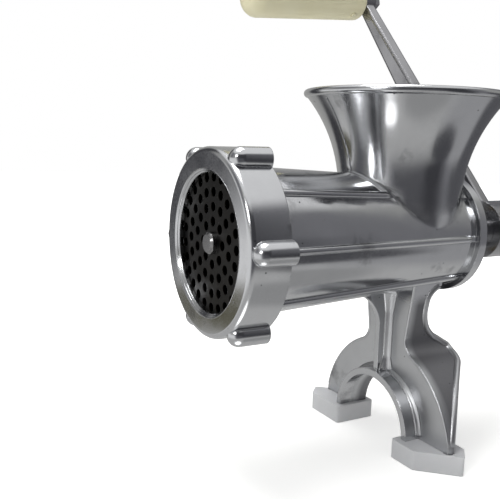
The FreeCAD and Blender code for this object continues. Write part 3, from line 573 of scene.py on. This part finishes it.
class GRINDER_OT_flange_beads(bpy.types.Operator):
    """Round the rear border of both back flanges with a raised bead in a satin finish."""

    bl_idname = "grinder.flange_beads"
    bl_label = "Flange beads"

    def execute(self, context):
        radius = context.scene.grinder_trim.bead_radius / MM
        finish = context.scene.grinder_finish
        colours = (finish.casting, finish.casting_dull)
        polished_metal("satin cast aluminium", colours, (0.32, 0.42), finish)
        border = trace(FLANGE_BORDER)
        outside = trace(LEG_OUTSIDE)
        height = border[:, 1]
        half = np.interp(-height, -outside[:, 1], outside[:, 0])
        for name, side in (("left_flange_bead", -1), ("right_flange_bead", 1)):
            path = frame_point(WEB_PLACE + border[:, 0] - radius / 2, side * (half - radius / 2), height)
            bead = tube(name, path, radius * MM)
            settle(bead, "satin cast aluminium", "stand")
        return {"FINISHED"}


class GRINDER_OT_fin_fillets(bpy.types.Operator):
    """Fill the two corners between the front fin and the web. Each row is a hollow corner at one height,
    and its radius grows towards both ends of the fin."""

    bl_idname = "grinder.fin_fillets"
    bl_label = "Fin fillets"

    def execute(self, context):
        radius = context.scene.grinder_trim.fillet_radius / MM
        height = np.linspace(*FIN_ENDS, 46)
        size = radius * (1 + np.interp(height, (-72, -64, -40, -30), (0.8, 0, 0, 0.6)))
        size[[0, -1]] = 0
        across, ahead = hollow_corner(size[:, None])
        for name, side in (("left_fin_fillet", -1), ("right_fin_fillet", 1)):
            points = frame_point(WEB_PLACE - ahead, side * (FIN_HALF + across), height[:, None])
            fillet = grid_piece(name, points)
            settle(fillet, "polished cast aluminium", "stand")
        return {"FINISHED"}


class GRINDER_OT_arch_fillet(bpy.types.Operator):
    """Fill the corner between the arch's flange and the front of the web. Each row is a hollow corner,
    carried round the arch's middle."""

    bl_idname = "grinder.arch_fillet"
    bl_label = "Arch fillet"

    def execute(self, context):
        radius = context.scene.grinder_trim.arch_fillet / MM
        turn = np.radians(np.linspace(4, 176, 120))[:, None]
        size = np.full_like(turn, radius)
        size[[0, -1]] = 0
        outward, ahead = hollow_corner(size)
        reach = ARCH_RADIUS + outward
        height = ARCH_BASE - AXIS_HEIGHT + reach * np.sin(turn)
        fillet = grid_piece("arch_fillet", frame_point(WEB_PLACE - ahead, reach * np.cos(turn), height))
        settle(fillet, "polished cast aluminium", "stand")
        return {"FINISHED"}


class GRINDER_OT_web_edges(bpy.types.Operator):
    """Round the two outside edges of the web, from the barrel down to the pads."""

    bl_idname = "grinder.web_edges"
    bl_label = "Web edges"

    def execute(self, context):
        radius = context.scene.grinder_trim.edge_radius / MM
        outside = trace(LEG_OUTSIDE)
        for name, side in (("left_web_edge", -1), ("right_web_edge", 1)):
            path = frame_point(WEB_PLACE + radius / 2, side * (outside[:, 0] - radius / 2), outside[:, 1])
            edge = tube(name, path, radius * MM)
            settle(edge, "polished cast aluminium", "stand")
        return {"FINISHED"}


class GRINDER_OT_neck_fillet(bpy.types.Operator):
    """Fill the corner between the front of the hopper's neck and the top of the barrel. Each row is a
    curve that leaves the neck, bends towards the corner and runs out on the barrel."""

    bl_idname = "grinder.neck_fillet"
    bl_label = "Neck fillet"

    def execute(self, context):
        reach = context.scene.grinder_trim.neck_fillet / MM
        count = 69
        turn = np.radians(np.linspace(22, 158, count))
        size = reach * np.clip(np.sin(np.linspace(0, np.pi, count)) * 1.6, 0, 1)
        size[[0, -1]] = 0
        corner = neck_meets_barrel(turn, 0)
        outer = neck_meets_barrel(turn, size)
        upward = np.stack([0 * size, 0 * size, size], axis=-1)
        share = np.linspace(0, 1, 9)[:, None]
        bend = (1 - share) ** 2 * (corner + upward)[:, None] + share**2 * outer[:, None]
        bend += 2 * share * (1 - share) * corner[:, None]
        under = corner - 0.4 * upward
        points = np.concatenate([bend, under[:, None]], axis=1)
        fillet = grid_piece("neck_fillet", frame_point(points[..., 0], points[..., 1], points[..., 2]))
        settle(fillet, "polished cast aluminium", "stand")
        return {"FINISHED"}


class GRINDER_OT_hopper_seam(bpy.types.Operator):
    """Draw the parting line that the mould left on the front of the hopper, a thin tube on its curve."""

    bl_idname = "grinder.hopper_seam"
    bl_label = "Hopper seam"

    def execute(self, context):
        radius = context.scene.grinder_trim.seam_radius
        foot, waist, top = 24.0, 50.0, 66.0
        centre = arc_centre((NECK_RADII[1], NECK_TOP), HOPPER_EDGE, HOPPER_CURVE, -1)
        height = np.linspace(foot, top, 60)
        reach = centre[0] - np.sqrt(HOPPER_CURVE**2 - (height - centre[1]) ** 2)
        turn = np.radians(np.interp(height, (foot, waist, top), (86.0, 90.0, 90.0)))
        path = frame_point(HOPPER_PLACE - reach * np.sin(turn), -reach * np.cos(turn), height)
        seam = tube("hopper_seam", path, radius)
        settle(seam, "polished cast aluminium", "stand")
        return {"FINISHED"}


# Studio


def light_path_mix(tree):
    """One where the camera, a mirror or clear plastic looks, and zero for the light on the object."""
    path = add_node(tree, "ShaderNodeLightPath").outputs
    seen = combined(tree, "MAXIMUM", path["Is Camera Ray"], path["Is Glossy Ray"])
    return combined(tree, "MAXIMUM", seen, path["Is Transmission Ray"])


def only_mirrored(piece):
    """Hide a piece of the stage from everything but polished surfaces."""
    for ray in ("camera", "diffuse", "transmission", "shadow", "volume_scatter"):
        setattr(piece, f"visible_{ray}", False)


def glowing(tree, shader, tint):
    """Make a material show a colour as it is, without light on it."""
    shader.inputs["Base Color"].default_value = (0, 0, 0, 1)
    shader.inputs["Specular IOR Level"].default_value = 0
    shader.inputs["Emission Strength"].default_value = 1
    tree.links.new(tint, shader.inputs["Emission Color"])


def stepped(tree, value, stops):
    """Blend through colours placed along a value between zero and one."""
    ramp = add_node(tree, "ShaderNodeValToRGB", {"Fac": value})
    elements = ramp.color_ramp.elements
    while len(elements) < len(stops):
        elements.new(0.5)
    for element, (position, tint) in zip(elements, stops):
        element.position = position
        element.color = tint
    return ramp.outputs[0]


def round_about(tree, place, stops):
    """Blend through colours placed at angles, in degrees, round the object."""
    split = add_node(tree, "ShaderNodeSeparateXYZ", {"Vector": place}).outputs
    turn = combined(tree, "ARCTAN2", split["Y"], split["X"])
    share = ranged(tree, turn, -math.pi, math.pi)
    return stepped(tree, share, [(degrees / 360 + 0.5, tint) for degrees, tint in stops])


def walls(tree, place, studio):
    """The walls of the room as dark, middle and pale uprights."""
    dark, grey, pale = studio.dark, studio.grey, studio.pale
    stops = (
        (-180, pale), (-158, pale), (-148, grey), (-138, dark), (-66, dark), (-52, grey), (-40, grey),
        (-30, pale), (-8, pale), (20, grey), (48, grey), (60, pale), (94, pale), (104, dark),
        (118, dark), (123, pale), (135, pale), (146, grey), (168, grey), (180, pale),
    )
    return round_about(tree, place, stops)


def far_table(tree, place, studio):
    """The far part of the table and the foot of the walls: white in front of the outlet, and darkened
    here and there towards the sides and the back."""
    dark, far, grey, pale = studio.dark, studio.far, studio.grey, studio.pale
    stops = (
        (-180, WHITE), (-158, WHITE), (-146, grey), (-138, far), (-92, far), (-84, dark), (-64, dark),
        (-54, far), (-46, grey), (-38, grey), (-30, far), (30, far), (55, pale), (94, pale),
        (101, dark), (120, dark), (126, WHITE), (180, WHITE),
    )
    return round_about(tree, place, stops)


def laid(tree, place, under, over, middle, reach):
    """Lay an oval of another colour, given by its middle and its two radii in metres, over a colour."""
    inside = distance(tree, place, (*middle, 0), (1 / reach[0], 1 / reach[1], 0))
    return blended(tree, ranged(tree, inside, 1.2, 0.8), under, over)


def disc(name, radius, height):
    """A flat disc: each point is a radius at an angle, at one height."""
    turn = np.linspace(0, 2 * np.pi, 96, endpoint=False)
    reach = np.linspace(0, radius, 4)[:, None]
    places = np.broadcast_arrays(reach * np.cos(turn), reach * np.sin(turn), height)
    return grid_piece(name, np.stack(places, axis=-1))


def soft_box(name, place, aim, size, power):
    """Add a rectangular soft light that faces a point."""
    light = bpy.data.lights.new(name, "AREA")
    light.shape = "RECTANGLE"
    light.size, light.size_y = size
    light.energy = power
    lamp = bpy.data.objects.new(name, light)
    lamp.location = place
    lamp.rotation_euler = (Vector(aim) - Vector(place)).to_track_quat("-Z", "Y").to_euler()
    bpy.context.scene.collection.objects.link(lamp)
    return lamp


class GRINDER_OT_stage(bpy.types.Operator):
    """Build the pale floor, the table and the room that the metal mirrors, the lights and the camera."""

    bl_idname = "grinder.stage"
    bl_label = "Studio"

    def execute(self, context):
        scene = context.scene
        studio = scene.grinder_studio
        scene.view_settings.view_transform = "Standard"
        self.world(scene)
        self.floor(studio)
        self.table(studio)
        self.room(studio)
        self.lights()
        self.camera(scene, studio)
        return {"FINISHED"}

    def world(self, scene):
        """White where it is looked at, and a plain grey light on the object."""
        world = bpy.data.worlds.new("studio")
        scene.world = world
        world.use_nodes = True
        tree = world.node_tree
        background = tree.nodes["Background"]
        background.inputs["Color"].default_value = WHITE
        strength = ranged(tree, light_path_mix(tree), 0, 1, 0.4, 1)
        tree.links.new(strength, background.inputs["Strength"])

    def floor(self, studio):
        """A pale disc that keeps the shadow near the object and is white further out."""
        floor = disc("floor", FLOOR_RADIUS, 0.0)
        material, tree, shader, place = start_material("pale floor")
        shader.inputs["Base Color"].default_value = studio.floor
        shader.inputs["Roughness"].default_value = 0.8
        shader.inputs["Specular IOR Level"].default_value = 0
        shader.inputs["Emission Color"].default_value = WHITE
        reach = distance(tree, place, (0, 0, 0), (1, 1, 1))
        fade = ranged(tree, reach, 0.15, 0.6, 0.5, 1, kind="SMOOTHSTEP")
        glow = combined(tree, "MULTIPLY", light_path_mix(tree), fade)
        tree.links.new(glow, shader.inputs["Emission Strength"])
        floor.data.materials.append(material)
        floor.visible_glossy = False

    def table(self, studio):
        """The table top as polished metal sees it: pale near the object and dull further out, with a grey
        mat and a dark strip of painted shade at the right, a khaki cloth at the left, the barrel's shade
        and a glowing patch under the outlet, a painted highlight that the hopper mirrors."""
        table = disc("table", FLOOR_RADIUS, 0.2 * MM)
        only_mirrored(table)
        material, tree, shader, place = start_material("mirrored table")
        reach = distance(tree, place, (0, 0, 0), (1, 1, 1))
        far = ranged(tree, reach, 0.22, 0.36, kind="SMOOTHSTEP")
        tint = blended(tree, far, studio.table, far_table(tree, place, studio))
        ovals = (
            (studio.mat, (0.27, -0.16), (0.2, 0.12)),
            # Painted shade: a dark strip that darkens the barrel's lower side where it mirrors the table.
            (studio.shade_strip, (0.14, -0.24), (0.1, 0.065)),
            (studio.khaki, (-0.26, 0.29), (0.08, 0.1)),
            (studio.shade, (0.0, -0.1), (0.075, 0.05)),
            # Painted highlight: a glowing patch, brighter than white and seen only in reflections, that
            # makes the bright spot on the hopper.
            (HIGHLIGHT_GLOW, (-0.118, -0.054), (0.028, 0.036)),
        )
        for over, middle, radii in ovals:
            tint = laid(tree, place, tint, over, middle, radii)
        glowing(tree, shader, tint)
        table.data.materials.append(material)

    def room(self, studio):
        """The room as polished metal sees it: walls with uprights and a white ceiling. A point is the
        room's radius at an angle round the object, lifted to an elevation."""
        turn = np.linspace(0, 2 * np.pi, 96, endpoint=False)
        lift = np.radians(np.linspace(-5, 90, 48))[:, None]
        ways = np.broadcast_arrays(np.cos(lift) * np.cos(turn), np.cos(lift) * np.sin(turn), np.sin(lift))
        room = grid_piece("room", np.stack(ways, axis=-1) * ROOM_RADIUS)
        only_mirrored(room)
        material, tree, shader, place = start_material("mirrored room")
        foot = np.sin(np.radians((12, 5)))
        ceiling = np.sin(np.radians((39, 52)))
        way = add_node(tree, "ShaderNodeVectorMath", {0: place}, operation="NORMALIZE").outputs[0]
        height = add_node(tree, "ShaderNodeSeparateXYZ", {"Vector": way}).outputs["Z"]
        tint = walls(tree, place, studio)
        tint = blended(tree, ranged(tree, height, *foot), tint, far_table(tree, place, studio))
        tint = blended(tree, ranged(tree, height, *ceiling, kind="SMOOTHSTEP"), tint, WHITE)
        glowing(tree, shader, tint)
        room.data.materials.append(material)

    def lights(self):
        """A soft box overhead, one over the camera's left shoulder and a faint one low at the right."""
        middle = (0, 0, 0.1)
        soft_box("overhead", place=(-0.1, 0.15, 1.2), aim=middle, size=(0.8, 0.5), power=10)
        soft_box("shoulder", place=(-1.15, -0.45, 0.7), aim=middle, size=(0.32, 0.32), power=4)
        right = soft_box("right", place=(1.1, -0.6, 0.5), aim=middle, size=(0.3, 0.6), power=0.5)
        right.visible_glossy = False

    def camera(self, scene, studio):
        """Stand the camera low before the grinder's right side, turned and tilted by its settings."""
        data = bpy.data.cameras.new("camera")
        data.lens = studio.lens
        data.sensor_width = 36
        data.clip_start = 0.01
        camera = bpy.data.objects.new("camera", data)
        scene.collection.objects.link(camera)
        turn = (
            Matrix.Rotation(studio.azimuth, 4, "Z")
            @ Matrix.Rotation(math.pi / 2 - studio.pitch, 4, "X")
            @ Matrix.Rotation(studio.roll, 4, "Z")
        )
        camera.matrix_world = Matrix.Translation(studio.eye) @ turn
        scene.camera = camera


class GRINDER_PT_panel(bpy.types.Panel):
    """Lists the steps and their settings."""

    bl_idname = "GRINDER_PT_panel"
    bl_label = "Meat grinder"
    bl_space_type = "VIEW_3D"
    bl_region_type = "UI"
    bl_category = "Grinder"

    def draw(self, context):
        for operator in OPERATORS:
            self.layout.operator(operator.bl_idname)
        for name in GROUPS:
            group = getattr(context.scene, name)
            for key in group.__annotations__:
                self.layout.prop(group, key)


GROUPS = {
    "grinder_finish": GrinderFinish,
    "grinder_trim": GrinderTrim,
    "grinder_studio": GrinderStudio,
}
OPERATORS = (
    GRINDER_OT_castings,
    GRINDER_OT_steel,
    GRINDER_OT_plastics,
    GRINDER_OT_ribs,
    GRINDER_OT_lip_bevel,
    GRINDER_OT_flange_beads,
    GRINDER_OT_fin_fillets,
    GRINDER_OT_arch_fillet,
    GRINDER_OT_web_edges,
    GRINDER_OT_neck_fillet,
    GRINDER_OT_hopper_seam,
    GRINDER_OT_stage,
)


def register():
    """Register the settings, the steps and the panel."""
    for name, group in GROUPS.items():
        bpy.utils.register_class(group)
        setattr(bpy.types.Scene, name, bpy.props.PointerProperty(type=group))
    for kind in (*OPERATORS, GRINDER_PT_panel):
        bpy.utils.register_class(kind)


def unregister():
    """Take away the panel, the steps and the settings."""
    for kind in (GRINDER_PT_panel, *OPERATORS):
        bpy.utils.unregister_class(kind)
    for name, group in GROUPS.items():
        delattr(bpy.types.Scene, name)
        bpy.utils.unregister_class(group)


def main():
    """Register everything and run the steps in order."""
    register()
    for operator in OPERATORS:
        group, step = operator.bl_idname.split(".")
        getattr(getattr(bpy.ops, group), step)()


if __name__ == "__main__":
    main()
